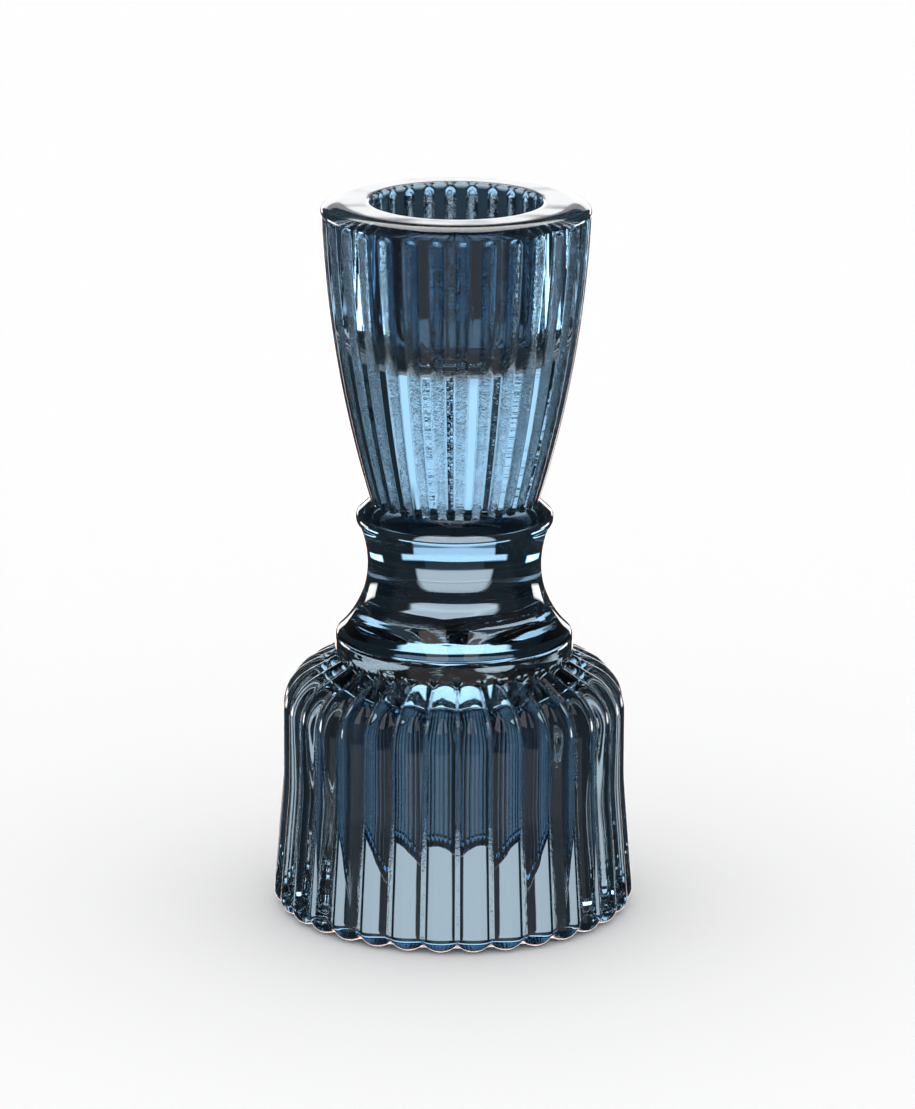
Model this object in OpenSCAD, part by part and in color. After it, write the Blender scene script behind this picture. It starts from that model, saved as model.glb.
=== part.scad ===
// Pressed glass bud vase: a ribbed tulip cup on a smooth waist and a hollow ribbed foot.
// Millimetres, +Z up. The origin is on the table, at the middle of the foot.

/* [Heights] */
// Height of the vase from the table to the top of the rim
total_h = 100; // [90:1:125]
// Height of the ribbed foot
foot_h = 36; // [32:0.5:44]
// Height of the smooth waist between the foot and the collar
waist_h = 16.5; // [15:0.5:20]
// Height of the collar from the waist to the foot of the cup
collar_h = 5.3; // [5:0.1:8]
// Height of the smooth rim above the ribbed cup
rim_h = 1.5; // [1:0.1:2.5]

/* [Foot] */
// Diameter of the foot across its ribs, at its widest just above the table
foot_d = 50.2; // [46:0.2:60]
// Diameter of the foot across its ribs, where its wall is upright
foot_top_d = 47.6; // [44:0.2:58]
// Height at which the wall starts to flare out to the table
flare_h = 18.5; // [10:0.5:22]
// Radius of the shoulder where the wall turns over
shoulder_r = 7; // [5:0.5:8]
// Slope of the shoulder where it runs up to the waist, in degrees
shoulder_slope = 28; // [20:1:35]
// Radius of the outer edge that stands on the table
foot_round = 2.2; // [1.5:0.1:3]
// Diameter of the hollow under the foot, at the table
hollow_d = 39.8; // [34:0.2:48]
// Diameter of the hollow at its ceiling
hollow_top_d = 36.8; // [30:0.2:44]
// Depth of the hollow under the foot
hollow_depth = 32; // [24:0.5:34]
// Radius between the hollow's wall and its ceiling
hollow_round = 1.5; // [1:0.1:3]

/* [Waist and collar] */
// Diameter of the rounded skirt where the waist stands on the foot
skirt_d = 33; // [30:0.2:36]
// Radius of the skirt's outer edge
skirt_round = 1.6; // [1.2:0.1:2]
// Smallest diameter of the waist
waist_d = 24.3; // [20:0.1:27]
// Height of the narrowest point above the bottom of the waist
waist_low = 12.9; // [11:0.1:14]
// Radius of the waist's hollow curve
waist_curve = 13.3; // [12:0.1:16]
// Diameter of the collar's bead
bead_d = 27.4; // [25:0.1:31]
// Radius of the bead's section
bead_r = 1.3; // [1:0.1:2]

/* [Cup] */
// Diameter of the cup across its ribs, where it stands on the collar
cup_foot_d = 23.2; // [20:0.1:26]
// Diameter of the rim
rim_d = 37; // [33:0.1:42]
// How far the cup's side bulges beyond a straight line
cup_belly = 1.3; // [0.5:0.02:2]
// Width of the rounded part of the rim, seen from above
rim_round_w = 3; // [1:0.1:4]
// Bore of the socket, for a stem or a taper
socket_d = 23.6; // [20:0.1:25]
// Depth of the socket
socket_depth = 22; // [16:0.5:30]
// Radius between the socket's wall and its floor
socket_round = 6; // [1:0.5:8]

/* [Ribs] */
// Number of ribs round the cup, and round the foot
rib_count = 32; // [24:1:36]
// Turn of the cup's grooves about the vase's axis, in degrees
cup_turn = 3; // [0:0.5:10]
// Turn of the foot's grooves about the vase's axis, in degrees
foot_turn = 1.5; // [0:0.5:10]
// Radius of a cup groove's section
cup_groove_r = 1.3; // [1:0.05:1.5]
// Depth of the cup's grooves at the rim
cup_groove_top = 0.6; // [0.3:0.05:0.8]
// Depth of the cup's grooves at the collar
cup_groove_low = 0.25; // [0.15:0.05:0.4]
// Depth of the foot's grooves
foot_groove = 0.8; // [0.4:0.05:1.2]
// Width of the foot's grooves at the surface
foot_groove_w = 3.8; // [2.5:0.1:4.2]
// Width of the foot's grooves on the slope up to the waist, where the ribs crowd together
slope_groove_w = 3; // [2:0.1:3.1]
// Radius of the foot ribs' sides
foot_rib_r = 4; // [3.2:0.1:6]

/* [Hidden] */
$fn = 96;
waist_z = foot_h;
collar_z = waist_z + waist_h;
cup_z = collar_z + collar_h;
rim_z = total_h - rim_h;
pitch = 360 / rib_count;
front = -90;                       // a turn of 0 puts a groove at the front, on -Y

// The cup's side is one arc: its centre, from a chord's two ends and its bulge.
function arc_r(a, b, s) = pow(norm(b - a), 2) / (8 * s) + s / 2;
function arc_mid(a, b, s) = let (u = (b - a) / norm(b - a))
    (a + b) / 2 + (s - arc_r(a, b, s)) * [u[1], -u[0]];
cup_a = [cup_foot_d / 2, cup_z];
cup_b = [rim_d / 2, rim_z];
cup_R = arc_r(cup_a, cup_b, cup_belly);
cup_c = arc_mid(cup_a, cup_b, cup_belly);

// A cup groove's middle line is an arc of its own, deeper at the rim than at the collar.
arch = sqrt(pow(cup_groove_r, 2) - pow(cup_groove_r - cup_groove_top, 2));
grv_a = cup_a + [cup_groove_r - cup_groove_low, 0];
grv_b = cup_b + [cup_groove_r - cup_groove_top, -arch - 0.1];
grv_R = arc_r(grv_a, grv_b, cup_belly);
grv_c = arc_mid(grv_a, grv_b, cup_belly);
function slant(p, c) = atan2(p[1] - c[1], p[0] - c[0]);

// The foot's wall flares from the table, stands upright, turns over an arc and slopes to the waist.
wall_r = foot_top_d / 2;
sh_c = [wall_r - shoulder_r,
        foot_h - (shoulder_r + (wall_r - shoulder_r - skirt_d / 2) * sin(shoulder_slope)) / cos(shoulder_slope)];
flare_a = atan2((foot_d - foot_top_d) / 2, flare_h - foot_round);
sh_end = sh_c + shoulder_r * [sin(shoulder_slope), cos(shoulder_slope)];
slope_l = norm([skirt_d / 2, foot_h] - sh_end);

module foot_outline() {
    difference() {
        union() {
            square([foot_d / 2 - foot_round, foot_round]);
            intersection() {
                square([foot_d, foot_round]);
                translate([foot_d / 2 - foot_round, foot_round]) circle(foot_round);
            }
            intersection() {
                translate(sh_c) circle(shoulder_r);
                translate(sh_c) square([shoulder_r, shoulder_r * cos(shoulder_slope)]);
            }
            polygon([[0, foot_round], [foot_d / 2, foot_round], [wall_r, flare_h], [wall_r, sh_c[1]],
                     sh_c, sh_end, [skirt_d / 2, foot_h], [0, foot_h]]);
        }
        polygon([[-1, -1], [hollow_d / 2, -1], [hollow_d / 2, 0],
                 [hollow_top_d / 2, hollow_depth - hollow_round], [-1, hollow_depth - hollow_round]]);
        translate([-1, hollow_depth - hollow_round - 0.01])
            square([1 + hollow_top_d / 2 - hollow_round, hollow_round + 0.01]);
        intersection() {
            translate([hollow_top_d / 2 - hollow_round, hollow_depth - hollow_round]) circle(hollow_round);
            translate([0, hollow_depth - hollow_round - 0.01]) square([hollow_d, hollow_round + 1]);
        }
    }
}

// Section of a groove between two ribs: x points out of the glass, y runs round the foot.
module foot_cut(width) {
    w = width / 2;
    l = norm([w, foot_groove]);
    h = sqrt(pow(foot_rib_r, 2) - l * l / 4);
    difference() {
        translate([-foot_groove, -w]) square([foot_groove + 1.2, 2 * w]);
        for (s = [-1, 1])
            translate([-foot_groove / 2 - h * w / l, s * (w / 2 + h * foot_groove / l)]) circle(foot_rib_r);
    }
}

// One groove: a flared run and an upright run that meet at a mitre, the shoulder, and the slope.
module foot_groove_path() {
    over = foot_h;
    translate([wall_r, 0, flare_h]) {
        intersection() {
            rotate([0, -flare_a, 0]) translate([0, 0, -over]) linear_extrude(height = over + 5) foot_cut(foot_groove_w);
            rotate([0, -flare_a / 2, 0]) translate([-over, -over, -2 * over]) cube([2 * over, 2 * over, 2 * over]);
        }
        intersection() {
            translate([0, 0, -5]) linear_extrude(height = sh_c[1] - flare_h + 5) foot_cut(foot_groove_w);
            rotate([0, -flare_a / 2, 0]) translate([-over, -over, 0]) cube([2 * over, 2 * over, 2 * over]);
        }
    }
    translate([sh_c[0], 0, sh_c[1]]) rotate([90, 0, 0])
        rotate_extrude(angle = 90 - shoulder_slope) translate([shoulder_r, 0]) foot_cut(foot_groove_w);
    translate([sh_c[0], 0, sh_c[1]]) rotate([0, shoulder_slope - 90, 0])
        linear_extrude(height = slope_l) translate([shoulder_r, 0]) foot_cut(slope_groove_w);
}

module bell_foot() {
    color([0.09, 0.2, 0.31])
    difference() {
        rotate_extrude() foot_outline();
        for (i = [0 : rib_count - 1]) rotate([0, 0, front + foot_turn + i * pitch]) foot_groove_path();
    }
}

// Points along an arc, from the angle a to the angle b, in n equal steps.
function arc_points(c, r, a, b, n) =
    [for (i = [0 : n]) let (t = a + (b - a) * i / n) c + r * [cos(t), sin(t)]];

// The waist's hollow curve runs into the skirt's round edge where the two circles touch.
curve_c = [waist_d / 2 + waist_curve, waist_low];
skirt_x = skirt_d / 2 - skirt_round;
skirt_c = [skirt_x, waist_low - sqrt(pow(waist_curve + skirt_round, 2) - pow(curve_c[0] - skirt_x, 2))];
skirt_a = slant(curve_c, skirt_c);
waist_top_a = 180 - asin((waist_h - waist_low) / waist_curve);

module waist_stem() {
    color([0.12, 0.26, 0.38])
    translate([0, 0, waist_z]) rotate_extrude()
        polygon(concat([[0, 0], [skirt_d / 2, 0]],
            arc_points(skirt_c, skirt_round, 0, skirt_a - 3, 8),
            arc_points(curve_c, waist_curve, 180 + skirt_a, waist_top_a, 24),
            [[0, waist_h]]));
}

// The bead stands where its circle touches the waist's curve, and a straight slope runs from
// its top to the foot of the cup, touching it.
collar_c = curve_c - [0, waist_h];
bead_x = bead_d / 2 - bead_r;
bead_c = [bead_x, collar_c[1] + sqrt(pow(waist_curve + bead_r, 2) - pow(collar_c[0] - bead_x, 2))];
bead_low_a = slant(collar_c, bead_c);
cup_foot = [cup_foot_d / 2, collar_h];
bead_top_a = slant(cup_foot, bead_c) - acos(bead_r / norm(cup_foot - bead_c));

module collar_bead() {
    color([0.1, 0.22, 0.34])
    translate([0, 0, collar_z]) rotate_extrude()
        polygon(concat([[0, 0]],
            arc_points(collar_c, waist_curve, waist_top_a, 180 + bead_low_a, 6),
            arc_points(bead_c, bead_r, bead_low_a + 8, bead_top_a, 10),
            [cup_foot, [0, collar_h]]));
}

// A cup groove is a round channel along its arc, with a half ball that arches its upper end.
module cup_groove_path() {
    low = slant(grv_a, grv_c) - 2;
    top = slant(grv_b, grv_c);
    translate([grv_c[0], 0, grv_c[1]]) rotate([90, 0, 0]) {
        rotate([0, 0, low]) rotate_extrude(angle = top - low, $fn = 720)
            translate([grv_R, 0]) circle(cup_groove_r, $fn = 48);
        rotate([0, 0, top]) translate([grv_R, 0, 0]) rotate_extrude(angle = 180, $fn = 48) intersection() {
            circle(cup_groove_r, $fn = 48);
            translate([0, -cup_groove_r]) square([cup_groove_r, 2 * cup_groove_r]);
        }
    }
}

module socket_cup() {
    color([0.16, 0.32, 0.46])
    difference() {
        rotate_extrude() intersection() {
            translate([0, cup_z]) square([rim_d, rim_z - cup_z]);
            translate(cup_c) circle(cup_R, $fn = 720);
        }
        for (i = [0 : rib_count - 1]) rotate([0, 0, front + cup_turn + i * pitch]) cup_groove_path();
        translate([0, 0, total_h - socket_depth + socket_round]) cylinder(d = socket_d, h = socket_depth);
        translate([0, 0, total_h - socket_depth]) rotate_extrude() {
            square([socket_d / 2 - socket_round, socket_round + 0.01]);
            intersection() {
                square([socket_d / 2, socket_round + 0.01]);
                translate([socket_d / 2 - socket_round, socket_round]) circle(socket_round);
            }
        }
    }
}

module rim_ring() {
    color([0.2, 0.36, 0.5])
    difference() {
        translate([0, 0, rim_z]) rotate_extrude()
            polygon(concat([[0, 0]],
                [for (a = [0 : 7.5 : 90]) [rim_d / 2 - rim_round_w * (1 - cos(a)), rim_h * sin(a)]],
                [[0, rim_h]]));
        translate([0, 0, rim_z - 1]) cylinder(d = socket_d, h = rim_h + 2);
    }
}

bell_foot();
waist_stem();
collar_bead();
socket_cup();
rim_ring();
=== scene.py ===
import math
import bpy
import numpy as np
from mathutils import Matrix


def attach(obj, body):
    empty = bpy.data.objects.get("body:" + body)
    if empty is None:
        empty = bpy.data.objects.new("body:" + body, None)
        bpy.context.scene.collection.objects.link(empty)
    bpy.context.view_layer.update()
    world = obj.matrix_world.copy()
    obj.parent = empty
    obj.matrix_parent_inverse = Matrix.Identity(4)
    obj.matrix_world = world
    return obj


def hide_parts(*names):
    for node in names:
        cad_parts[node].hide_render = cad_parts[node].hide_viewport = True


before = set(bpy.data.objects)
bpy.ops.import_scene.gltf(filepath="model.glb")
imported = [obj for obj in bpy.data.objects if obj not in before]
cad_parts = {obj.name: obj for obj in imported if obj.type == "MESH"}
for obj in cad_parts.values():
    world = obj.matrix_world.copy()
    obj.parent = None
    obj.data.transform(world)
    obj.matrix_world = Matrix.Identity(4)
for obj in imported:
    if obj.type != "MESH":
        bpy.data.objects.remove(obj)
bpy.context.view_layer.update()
print("frame loaded")

# Camera: about 0.84 m away, a little above the rim, with a long lens.
camera = bpy.data.objects.new("camera", bpy.data.cameras.new("camera"))
bpy.context.scene.collection.objects.link(camera)
bpy.context.scene.camera = camera
camera.data.lens = 194.4
camera.data.shift_x = 0.0027
camera.data.clip_end = 20
camera.location = (0, -0.7966, 0.2742)
camera.rotation_euler = (math.radians(90 - 15.72), 0, 0)
camera.rotation_euler.rotate_axis("Z", math.radians(0.274))
print("camera set")

# Sizes are in millimetres. An outline is a list of (radius, height) points.
mm = 0.001
ribs = 32
columns = 24  # points round one rib
seat = dict(foot=36.0, waist=52.5, rim=98.5, top=100.0)
seamGap = 0.01  # a fused face stands off its seam by this much, away from the edge
poleRadius = 0.3  # the last ring before the axis


def smooth(x):
    x = np.clip(x, 0, 1)
    return x * x * (3 - 2 * x)


def line(a, b, steps):
    t = np.linspace(0, 1, steps)[:, None]
    return np.asarray(a, float) * (1 - t) + np.asarray(b, float) * t


def arc(centre, radius, start, stop, steps):
    a = np.radians(np.linspace(start, stop, steps))
    return np.stack([centre[0] + radius * np.cos(a), centre[1] + radius * np.sin(a)], 1)


def joined(*runs):
    return np.concatenate([runs[0]] + [r[1:] for r in runs[1:]])


# Directions of the columns round the axis, and each one's phase in its rib, from -0.5 to 0.5
# with 0 in a groove. The pull draws columns towards the groove by a share of a sine.
def spread(pull, turnDegrees):
    u = np.arange(columns) / columns
    p = u - pull * np.sin(2 * np.pi * u) / (2 * np.pi)
    turn = (np.arange(ribs)[:, None] + p[None, :]).ravel() * 2 * np.pi / ribs + math.radians(turnDegrees)
    return turn, np.tile(np.where(p > 0.5, p - 1, p), ribs)


# A glass piece is a stack of rings, walked up its inside, out along its top, down its outside
# and in along its bottom. Each run is (radii, heights, seam, groove): ring by ring and column by
# column, whether it is a face where two pieces are fused, and how deep in a groove it lies.
def glassPiece(name, node, turn, runs, startPole=None, endPole=None):
    cols = len(turn)
    radii, heights, grooves, seams = [], [], [], []
    for n, (r, z, seam, g) in enumerate(runs):
        r = np.broadcast_to(r, (len(r), cols))
        z = np.broadcast_to(z, (len(z), cols))
        g = np.zeros_like(r) if g is None else g
        first = 0 if n == 0 else 1
        radii.append(r[first:])
        heights.append(z[first:])
        grooves.append(g[first:])
        seams += [seam] * (len(r) - 1)
    radii, heights, grooves = (np.concatenate(a) for a in (radii, heights, grooves))
    rows = len(radii)
    co = np.stack([radii * np.sin(turn), -radii * np.cos(turn), heights], 2).reshape(-1, 3)
    ring = np.arange(cols)
    after = (ring + 1) % cols
    k = np.arange(rows - 1)[:, None] * cols
    corners = np.broadcast_arrays(k + ring, k + cols + ring, k + cols + after, k + after)
    quads = np.stack(corners, 2).reshape(-1, 4)
    quadSeams = np.repeat(seams, cols)
    tris = np.zeros((0, 3), int)
    triSeams = np.zeros(0)
    end = (rows - 1) * cols
    if startPole is None:
        quads = np.concatenate([quads, np.stack([end + ring, ring, after, end + after], 1)])
        quadSeams = np.concatenate([quadSeams, np.full(cols, runs[-1][2])])
    else:
        co = np.concatenate([co, [[0, 0, startPole], [0, 0, endPole]]])
        pole = np.full(cols, rows * cols)
        startTris = np.stack([pole, ring, after], 1)
        endTris = np.stack([end + ring, pole + 1, end + after], 1)
        tris = np.concatenate([startTris, endTris])
        triSeams = np.repeat([runs[0][2], runs[-1][2]], cols)
    mesh = bpy.data.meshes.new(name)
    mesh.vertices.add(len(co))
    mesh.vertices.foreach_set("co", (co * mm).ravel())
    loops = np.concatenate([quads.ravel(), tris.ravel()]).astype(np.int32)
    mesh.loops.add(len(loops))
    mesh.loops.foreach_set("vertex_index", loops)
    sizes = np.concatenate([np.full(len(quads), 4), np.full(len(tris), 3)])
    mesh.polygons.add(len(sizes))
    starts = np.concatenate([[0], np.cumsum(sizes)[:-1]])
    mesh.polygons.foreach_set("loop_start", starts.astype(np.int32))
    mesh.update(calc_edges=True)
    mesh.polygons.foreach_set("use_smooth", np.ones(len(sizes), bool))
    seam = np.concatenate([quadSeams, triSeams]).astype(np.float32)
    mesh.polygons.foreach_set("material_index", seam.astype(np.int32))
    grain = np.zeros(len(co), np.float32)
    grain[: rows * cols] = grooves.ravel()
    mesh.attributes.new("groove", "FLOAT", "POINT").data.foreach_set("value", grain)
    loopEdges = np.empty(len(loops), np.int32)
    mesh.loops.foreach_get("edge_index", loopEdges)
    seamSides = np.zeros(len(mesh.edges))  # an edge between a seam face and an outer face is sharp
    np.add.at(seamSides, loopEdges, np.repeat(seam, sizes))
    mesh.attributes.new("sharp_edge", "BOOLEAN", "EDGE").data.foreach_set("value", np.abs(seamSides - 1) < 0.5)
    piece = bpy.data.objects.new(name, mesh)
    bpy.context.scene.collection.objects.link(piece)
    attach(piece, "root")
    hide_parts(node)
    return piece


def run(points, seam=False):
    return points[:, :1], points[:, 1:], seam, None


# Cup: tulip side, 32 grooves, blind socket.
cup = dict(low=11.8, lowZ=58.5, top=18.5, belly=1.28, grooveLow=0.4, grooveTop=0.6, share=0.27, arch=98.3,
           bore=11.8, floorZ=78.0, floorRound=6.0, turn=3.0)
cupTurn, cupPhase = spread(0.0, cup["turn"])


# The side is an arc that stands out from its chord by the belly.
def cupSide(z):
    a = np.array([cup["low"], cup["lowZ"]])
    b = np.array([cup["top"], seat["rim"]])
    chord = np.linalg.norm(b - a)
    radius = chord ** 2 / (8 * cup["belly"]) + cup["belly"] / 2
    u = (b - a) / chord
    c = (a + b) / 2 + (cup["belly"] - radius) * np.array([u[1], -u[0]])
    return c[0] + np.sqrt(radius ** 2 - (z - c[1]) ** 2)


# A groove's depth falls off as one less the square of the distance over its half width, with a
# softened edge; above the middle of its arch the distance is taken round the arch.
def cupGroove(z, phase):
    t = (z - cup["lowZ"]) / (cup["arch"] - cup["lowZ"])
    pitch = 2 * np.pi * cupSide(z) / ribs
    half = cup["share"] * pitch
    above = np.maximum(z - cup["arch"] + half, 0)
    d = np.hypot(phase * pitch, above) / half
    fall = 1 - d ** 2
    deepest = cup["grooveLow"] + (cup["grooveTop"] - cup["grooveLow"]) * t
    depth = deepest * 0.5 * (fall + np.sqrt(fall ** 2 + 0.015))
    return depth * (1 - smooth((d - 1) / 0.5)), 1 - smooth((d - 0.7) / 0.35)


# Waist and collar: the waist's hollow arc runs into the bead above and the skirt below where
# the circles touch, and the bead's round turns into a straight slope up to the cup.
waist = dict(small=12.15, smallZ=48.9, curve=13.3, skirt=16.5, skirtRound=1.6)
bead = dict(radius=13.7, round=1.3, slope=43.0)
curveC = np.array([waist["small"] + waist["curve"], waist["smallZ"]])


def touching(outer, rounding, up):
    x = outer - rounding
    rise = math.sqrt((waist["curve"] + rounding) ** 2 - (curveC[0] - x) ** 2)
    c = np.array([x, curveC[1] + up * rise])
    return c, math.degrees(math.atan2(curveC[1] - c[1], curveC[0] - c[0]))


beadC, beadTouch = touching(bead["radius"], bead["round"], 1)
skirtC, skirtTouch = touching(waist["skirt"], waist["skirtRound"], -1)
beadSlope = math.radians(bead["slope"])
beadTop = beadC + bead["round"] * np.array([math.sin(beadSlope), math.cos(beadSlope)])


def collarSlope(z):
    return beadTop[0] - (z - beadTop[1]) / math.tan(beadSlope)


# Each column's meeting height of cup and collar, found by stepping down the gap.
meetZ = np.full(len(cupTurn), 58.0)
for _ in range(60):
    meetZ = meetZ + 0.35 * (collarSlope(meetZ) - cupSide(meetZ) + cupGroove(meetZ, cupPhase)[0])
meetR = collarSlope(meetZ)
meetLow = meetZ.mean()


def meetCap(lift):
    share = np.array([1, 0.985, 0.9, 0.6, 0.2])[:, None]
    z = np.concatenate([meetZ[None], np.broadcast_to(meetLow + lift, (4, len(meetZ)))])
    z[1] = meetZ * 0.8 + meetLow * 0.2 + lift
    return share * meetR, z


# Rings are closest at the grooves' arches and at the scalloped foot.
sideShare = np.concatenate([
    np.linspace(0, 0.06, 16)[:-1],
    np.linspace(0.06, 0.96, 54)[:-1],
    np.linspace(0.96, 1, 8)])
sideZ = seat["rim"] + (meetZ - seat["rim"]) * sideShare[:, None]
sideDepth, sideGrain = cupGroove(sideZ, cupPhase)
capR, capZ = meetCap(seamGap)
boreC = (cup["bore"] - cup["floorRound"], cup["floorZ"] + cup["floorRound"])
inside = joined(
    line((poleRadius, cup["floorZ"]), (boreC[0], cup["floorZ"]), 6),
    arc(boreC, cup["floorRound"], -90, 0, 14),
    line((cup["bore"], boreC[1]), (cup["bore"], seat["rim"]), 8))
rimCap = np.array([[cup["bore"], seat["rim"]], [cup["bore"] + 0.3, seat["rim"] - seamGap],
                   [cup["top"] - 0.3, seat["rim"] - seamGap], [cup["top"], seat["rim"]]])
cupOutside = (cupSide(sideZ) - sideDepth, sideZ, False, sideGrain)
cupGlass = glassPiece(
    "cup_glass", "socket_cup", cupTurn,
    [run(inside), run(rimCap, True), cupOutside, (capR, capZ, True, None)],
    cup["floorZ"], meetLow + seamGap)
print("cup made")

# Rim: smooth ring with a flat top, a wide rounding outside and a small one at the bore.
rim = dict(wide=3.0, high=1.5, lip=0.45)
a = np.radians(np.linspace(90, 0, 24))
rimSide = np.stack([cup["top"] - rim["wide"] * (1 - np.cos(a)), seat["rim"] + rim["high"] * np.sin(a)], 1)
rimUnder = rimCap[::-1] + [[0, 0], [0, 2 * seamGap], [0, 2 * seamGap], [0, 0]]
rimInside = joined(
    line((cup["bore"], seat["rim"]), (cup["bore"], seat["top"] - rim["lip"]), 3),
    arc((cup["bore"] + rim["lip"], seat["top"] - rim["lip"]), rim["lip"], 180, 90, 9),
    line((cup["bore"] + rim["lip"], seat["top"]), rimSide[0], 8))
rimGlass = glassPiece(
    "rim_glass", "rim_ring", cupTurn, [run(rimSide), run(rimUnder, True), run(rimInside[:-1])])
print("rim made")

# Collar: from the scalloped line where the ribs end, over the bead, to the top of the waist.
slopeShare = np.linspace(0, 1, 8)[:, None]
slopeR = meetR + (beadTop[0] - meetR) * slopeShare
slopeZ = meetZ + (beadTop[1] - meetZ) * slopeShare
waistTop = (curveC[0] - math.sqrt(waist["curve"] ** 2 - (seat["waist"] - curveC[1]) ** 2), seat["waist"])
topAngle = math.degrees(math.atan2(waistTop[1] - curveC[1], waistTop[0] - curveC[0]))
beadSide = joined(
    arc(beadC, bead["round"], 90 - bead["slope"], beadTouch, 18),
    arc(curveC, waist["curve"], 180 + beadTouch, topAngle, 10))
waistCap = line(waistTop, (poleRadius, seat["waist"]), 4)
waistCap[1:, 1] += seamGap
capR, capZ = meetCap(-seamGap)
collarGlass = glassPiece(
    "collar_glass", "collar_bead", cupTurn,
    [(capR[::-1], capZ[::-1], True, None), (slopeR, slopeZ, False, None), run(beadSide), run(waistCap, True)],
    meetLow - seamGap, seat["waist"] + seamGap)
print("collar made")

# Foot: the ribs' crests follow the outline, and a groove sinks along the outline's normal.
foot = dict(wall=23.78, edge=25.12, edgeRound=2.2, flareZ=18.5, shoulder=7.0, slope=28.0, groove=1.0,
            crease=0.06, round=0.8, mouth=19.9, hollowTop=18.4, ceiling=32.0, hollowRound=1.5, lip=1.5,
            turn=1.5, seamZ=35.7)
footTurn, footPhase = spread(0.45, foot["turn"])
slopeOut = np.array([math.sin(math.radians(foot["slope"])), math.cos(math.radians(foot["slope"]))])
shoulderX = foot["wall"] - foot["shoulder"]
shoulderDrop = (foot["shoulder"] + (shoulderX - waist["skirt"]) * slopeOut[0]) / slopeOut[1]
shoulderC = np.array([shoulderX, seat["foot"] - shoulderDrop])
shoulderEnd = shoulderC + foot["shoulder"] * slopeOut


# A rib's section is an arc of a circle; neighbours meet in a narrow groove, rounded by the crease.
def ribSink(phase):
    q = np.clip(1 - 2 * (np.sqrt(phase ** 2 + foot["crease"] ** 2) - 0.5 * foot["crease"]), 0, 1)
    k = foot["round"]
    return (1 - np.sqrt(1 - (k * q) ** 2)) / (1 - math.sqrt(1 - k ** 2))


# The wall is upright at the shoulder and flares to the edge, the two eased into each other.
def footWall(z):
    d = (foot["flareZ"] - z) * (foot["edge"] - foot["wall"]) / (foot["flareZ"] - foot["edgeRound"])
    return foot["wall"] + 0.5 * (d + np.sqrt(d ** 2 + 0.01)) * smooth((shoulderC[1] - z) / 6)


sink = foot["groove"] * ribSink(footPhase)
joint = np.array([waist["skirt"], seat["foot"]])[:, None] - sink * slopeOut[:, None]
wallZ = np.linspace(shoulderC[1], foot["edgeRound"], 34)
wallTop = np.stack([footWall(wallZ), wallZ], 1)
edgeC = (wallTop[-1, 0] - foot["edgeRound"], foot["edgeRound"])
crest = joined(
    line((waist["skirt"], seat["foot"]), shoulderEnd, 8),
    arc(shoulderC, foot["shoulder"], 90 - foot["slope"], 0, 20),
    wallTop,
    arc(edgeC, foot["edgeRound"], 0, -90, 18))
along = np.gradient(crest, axis=0)
along /= np.linalg.norm(along, axis=1)[:, None]
outward = np.stack([-along[:, 1], along[:, 0]], 1)
outward[0] = slopeOut
outward[-1] = (0, -1)
footR = crest[:, :1] - sink * outward[:, :1]
footZ = crest[:, 1:] - sink * outward[:, 1:]
footGrain = (1 - smooth((np.abs(footPhase) - 0.03) / 0.05)) * np.ones_like(footR)
hemR = np.linspace(edgeC[0], foot["mouth"] + foot["lip"], 9)[:, None]
hemZ = sink * (1 - smooth((edgeC[0] - hemR) / (edgeC[0] - foot["mouth"] - foot["lip"])))
hollowC = (foot["hollowTop"] - foot["hollowRound"], foot["ceiling"] - foot["hollowRound"])
under = joined(
    arc((foot["mouth"] + foot["lip"], foot["lip"]), foot["lip"], -90, -180, 9),
    line((foot["mouth"], foot["lip"]), (foot["hollowTop"], hollowC[1]), 12),
    arc(hollowC, foot["hollowRound"], 0, 90, 10),
    line((hollowC[0], foot["ceiling"]), (poleRadius, foot["ceiling"]), 8))


def jointCap(lift):
    share = np.array([1, 0.985, 0.85, 0.5, 0.1])[:, None]
    z = np.concatenate([joint[1][None], np.broadcast_to(foot["seamZ"] + lift, (4, len(sink)))])
    z[1] = joint[1] * 0.8 + foot["seamZ"] * 0.2 + lift
    return share * joint[0], z


capR, capZ = jointCap(-seamGap)
footGlass = glassPiece(
    "foot_glass", "bell_foot", footTurn,
    [(capR[::-1], capZ[::-1], True, None), (footR, footZ, False, footGrain),
     (hemR, hemZ, False, None), run(under)],
    foot["seamZ"] - seamGap, foot["ceiling"])
print("foot made")

# Waist: the hollow arc from the collar down to the skirt, which stands on the foot's ribs.
skirtShare = np.linspace(0, 1, 10)[:, None]
skirtZ = skirtC[1] + (joint[1] - skirtC[1]) * skirtShare
skirtR = waist["skirt"] + (joint[0] - waist["skirt"]) * smooth((skirtShare - 0.55) / 0.45)
waistSide = joined(
    arc(curveC, waist["curve"], topAngle, 180 + skirtTouch, 30),
    arc(skirtC, waist["skirtRound"], skirtTouch, 0, 12))
waistUnder = waistCap[::-1] - [0, 2 * seamGap] * (np.arange(4)[:, None] < 3)
capR, capZ = jointCap(seamGap)
waistGlass = glassPiece(
    "waist_glass", "waist_stem", footTurn,
    [run(waistUnder, True), run(waistSide), (skirtR, skirtZ, False, None), (capR, capZ, True, None)],
    seat["waist"] - seamGap, foot["seamZ"] + seamGap)
print("waist made")

# Glass: petrol tint on every surface, clear inside. The grooves' mould grain roughens them, and the
# pressed faces are slightly wavy. Where two pieces are fused the face neither bends nor tints light.
tint = (0.125, 0.225, 0.32, 1)
polish = 0.005  # roughness of the plain faces


def connect(tree, value, socket):
    if isinstance(value, bpy.types.NodeSocket):
        tree.links.new(value, socket)
    else:
        socket.default_value = value


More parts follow.
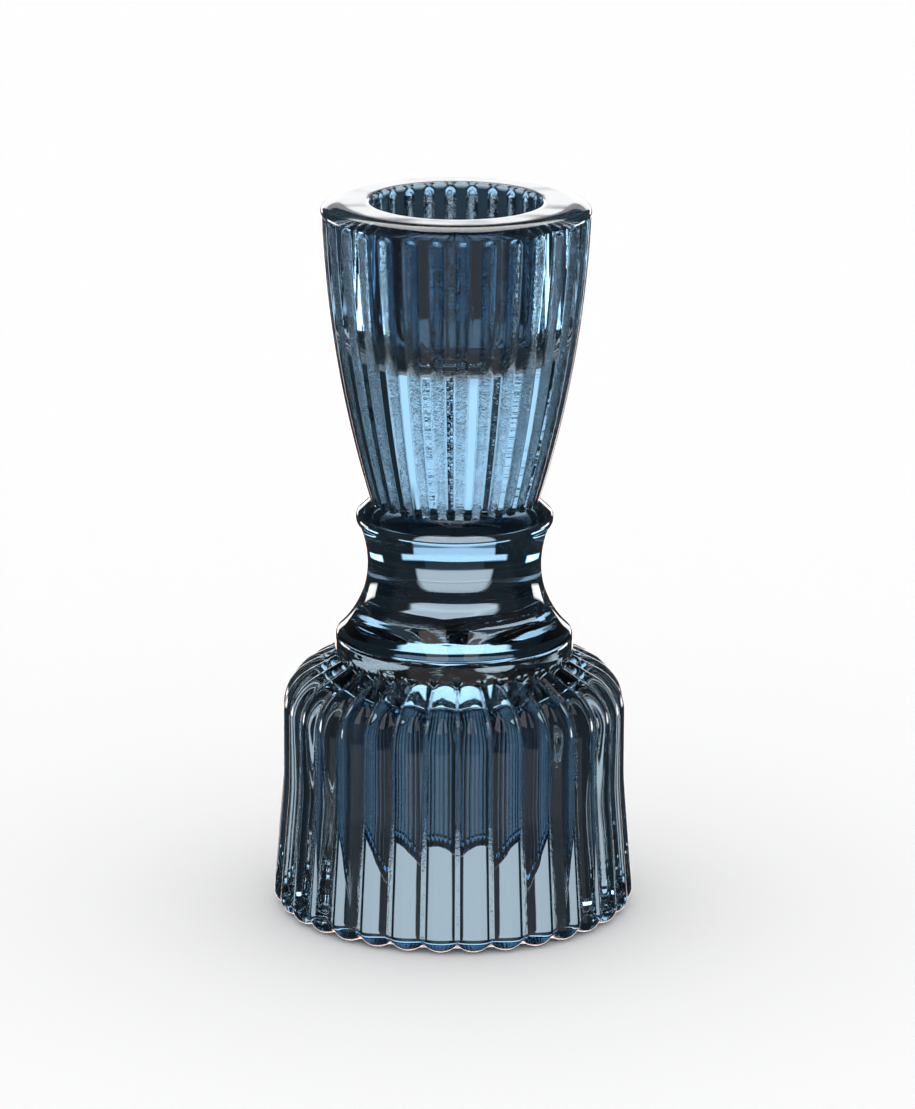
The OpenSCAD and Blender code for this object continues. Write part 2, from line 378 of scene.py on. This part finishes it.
# Inputs go by name, with an underscore for each space.
def addNode(tree, kind, **inputs):
    n = tree.nodes.new(kind)
    for name, value in inputs.items():
        connect(tree, value, n.inputs[name.replace("_", " ")])
    return n


def addMath(tree, operation, *values, kind="ShaderNodeMath"):
    n = tree.nodes.new(kind)
    n.operation = operation
    for value, socket in zip(values, n.inputs):
        connect(tree, value, socket)
    return n.outputs[0]


# Sizes are in millimetres: grain sits in the grooves only, in patches five times its size.
def glassMaterial(name, frost, grainDepth, grainSize, wave, waveSize):
    material = bpy.data.materials.new(name)
    material.use_nodes = True
    tree = material.node_tree
    shader = tree.nodes["Principled BSDF"]
    shader.inputs["Base Color"].default_value = tint
    shader.inputs["Transmission Weight"].default_value = 1
    shader.inputs["IOR"].default_value = 1.5
    place = tree.nodes.new("ShaderNodeTexCoord").outputs["Object"]
    groove = tree.nodes.new("ShaderNodeAttribute")
    groove.attribute_name = "groove"
    grain = addNode(tree, "ShaderNodeTexNoise", Vector=place, Scale=1 / (grainSize * mm), Detail=2.0,
                    Roughness=0.6)
    patch = addNode(tree, "ShaderNodeTexNoise", Vector=place, Scale=1 / (grainSize * 5 * mm), Detail=2.0)
    mottle = addNode(tree, "ShaderNodeMapRange", Value=patch.outputs["Fac"], From_Min=0.35, From_Max=0.6,
                     To_Min=0.35)
    weight = addMath(tree, "MULTIPLY", groove.outputs["Fac"], mottle.outputs[0])
    rough = addMath(tree, "MULTIPLY_ADD", weight, frost, polish)
    pits = addMath(tree, "MULTIPLY", grain.outputs["Fac"], weight)
    wavy = addNode(tree, "ShaderNodeTexNoise", Vector=place, Scale=1 / (waveSize * mm), Detail=1.0)
    waves = addNode(tree, "ShaderNodeBump", Height=wavy.outputs["Fac"], Strength=1.0, Distance=wave * mm)
    bump = addNode(tree, "ShaderNodeBump", Height=pits, Strength=1.0, Distance=grainDepth * mm,
                   Normal=waves.outputs[0])
    tree.links.new(rough, shader.inputs["Roughness"])
    tree.links.new(bump.outputs[0], shader.inputs["Normal"])
    return material


fusedGlass = bpy.data.materials.new("fused_glass")
fusedGlass.use_nodes = True
fusedShader = fusedGlass.node_tree.nodes["Principled BSDF"]
fusedShader.inputs["Base Color"].default_value = (1, 1, 1, 1)
fusedShader.inputs["Transmission Weight"].default_value = 1
fusedShader.inputs["Roughness"].default_value = 0
fusedShader.inputs["IOR"].default_value = 1.0
cupFinish = glassMaterial("cup_finish", frost=0.02, grainDepth=0.16, grainSize=0.34, wave=0.02, waveSize=6)
plainFinish = glassMaterial("waist_finish", frost=0.0, grainDepth=0.0, grainSize=0.3, wave=0.05, waveSize=7)
footFinish = glassMaterial("foot_finish", frost=0.05, grainDepth=0.15, grainSize=0.3, wave=0.05, waveSize=6)
finishes = (
    (rimGlass, plainFinish, "glass_cup"),
    (cupGlass, cupFinish, "glass_cup"),
    (collarGlass, plainFinish, "glass_waist"),
    (waistGlass, plainFinish, "glass_waist"),
    (footGlass, footFinish, "glass_foot"))
for piece, finish, slot in finishes:
    piece.data.materials.append(finish)
    piece.data.materials.append(fusedGlass)

# Floor: plain and pale. Rays that have met the glass pass it, so the glass shows the zones below.
bpy.ops.mesh.primitive_plane_add(size=12, location=(0, 0, 0))
floor = bpy.context.object
floor.name = "floor"
paper = bpy.data.materials.new("paper")
paper.use_nodes = True
paper.node_tree.nodes["Principled BSDF"].inputs["Base Color"].default_value = (0.93, 0.93, 0.93, 1)
paper.node_tree.nodes["Principled BSDF"].inputs["Roughness"].default_value = 0.9
floor.data.materials.append(paper)
floor.visible_transmission = False
floor.visible_glossy = False
bpy.context.scene.view_settings.view_transform = "Standard"

# Studio: the camera and the floor see plain white, and the glass sees a dark room with soft lit
# zones, each a box of directions. The middle and half width of a zone are in degrees, azimuth from
# the back (+Y) towards +X, then elevation, with a soft edge.
zones = [
    dict(name="backdropTop", azimuth=(0, 18), elevation=(15.5, 2.5), soft=1.0,
         strength=0.8, colour=(1, 0.97, 1)),
    dict(name="backdrop", azimuth=(0, 18), elevation=(8, 5), soft=1.0,
         strength=2.8, colour=(1, 1, 1)),
    dict(name="horizon", azimuth=(0, 25), elevation=(-0.5, 3.5), soft=1.5,
         strength=3.6, colour=(1, 1, 1)),
    dict(name="tableFar", azimuth=(0, 13), elevation=(-8, 4), soft=1.5,
         strength=0.12, colour=(1, 1, 1)),
    dict(name="table", azimuth=(0, 18), elevation=(-18.5, 6.5), soft=1.5,
         strength=3.0, colour=(1, 0.72, 0.6)),
    dict(name="tableNear", azimuth=(0, 18), elevation=(-45, 20), soft=4,
         strength=3.0, colour=(1, 0.72, 0.6)),
    dict(name="room", azimuth=(0, 180), elevation=(0, 90), soft=4,
         strength=0.05, colour=(0.8, 0.95, 1)),
    dict(name="behindCamera", azimuth=(180, 85), elevation=(0, 35), soft=10,
         strength=0.12, colour=(1, 1, 1)),
    dict(name="overhead", azimuth=(0, 25), elevation=(52, 18), soft=4,
         strength=4.5, colour=(1, 0.99, 0.98)),
    dict(name="sideLeft", azimuth=(-52, 10), elevation=(-5.5, 4), soft=2,
         strength=9.0, colour=(1, 1, 1)),
    dict(name="sideRight", azimuth=(52, 10), elevation=(-5.5, 4), soft=2,
         strength=9.0, colour=(1, 1, 1)),
    dict(name="windowLeft", azimuth=(-152, 18), elevation=(54, 19), soft=2,
         strength=1.5, colour=(1, 0.93, 0.93)),
    dict(name="windowRight", azimuth=(150, 12), elevation=(54, 17), soft=2,
         strength=1.2, colour=(1, 0.93, 0.93)),
    dict(name="tableFront", azimuth=(180, 45), elevation=(-22, 12), soft=6,
         strength=0.5, colour=(1, 1, 1)),
]
whiteStrength = 1.35
world = bpy.data.worlds.new("studio")
bpy.context.scene.world = world
world.use_nodes = True
sky = world.node_tree
sky.nodes.clear()


def calc(operation, *values):
    return addMath(sky, operation, *values)


# One inside the band of half width h about the middle, falling to nothing over the soft edge.
def band(angle, middle, h, soft, wrap=False):
    away = calc("ABSOLUTE", calc("SUBTRACT", angle, middle))
    if wrap:
        away = calc("MINIMUM", away, calc("SUBTRACT", 360.0, away))
    inside = calc("DIVIDE", calc("SUBTRACT", h + soft / 2, away), soft)
    return calc("SMOOTH_MIN", calc("MAXIMUM", inside, 0.0), 1.0, 0.2)


coords = sky.nodes.new("ShaderNodeTexCoord")
split = addNode(sky, "ShaderNodeSeparateXYZ", Vector=coords.outputs["Generated"])
azimuth = calc("MULTIPLY", calc("ARCTAN2", split.outputs[0], split.outputs[1]), 180 / math.pi)
elevation = calc("MULTIPLY", calc("ARCSINE", split.outputs[2]), 180 / math.pi)
total = (0, 0, 0)
for zone in zones:
    across = band(azimuth, *zone["azimuth"], zone["soft"], True)
    height = band(elevation, *zone["elevation"], zone["soft"])
    light = calc("MULTIPLY", calc("MULTIPLY", across, height), zone["strength"])
    colour = sky.nodes.new("ShaderNodeVectorMath")
    colour.operation = "SCALE"
    connect(sky, zone["colour"], colour.inputs[0])
    connect(sky, light, colour.inputs["Scale"])
    total = addMath(sky, "ADD", total, colour.outputs[0], kind="ShaderNodeVectorMath")
roomLight = addNode(sky, "ShaderNodeBackground", Color=total)
whiteLight = addNode(sky, "ShaderNodeBackground", Strength=whiteStrength)
path = sky.nodes.new("ShaderNodeLightPath")
throughGlass = calc("MAXIMUM", path.outputs["Is Transmission Ray"], path.outputs["Is Glossy Ray"])
pick = sky.nodes.new("ShaderNodeMixShader")
for value, socket in zip((throughGlass, whiteLight.outputs[0], roomLight.outputs[0]), pick.inputs):
    connect(sky, value, socket)
sky.links.new(pick.outputs[0], sky.nodes.new("ShaderNodeOutputWorld").inputs["Surface"])
print("studio lit")
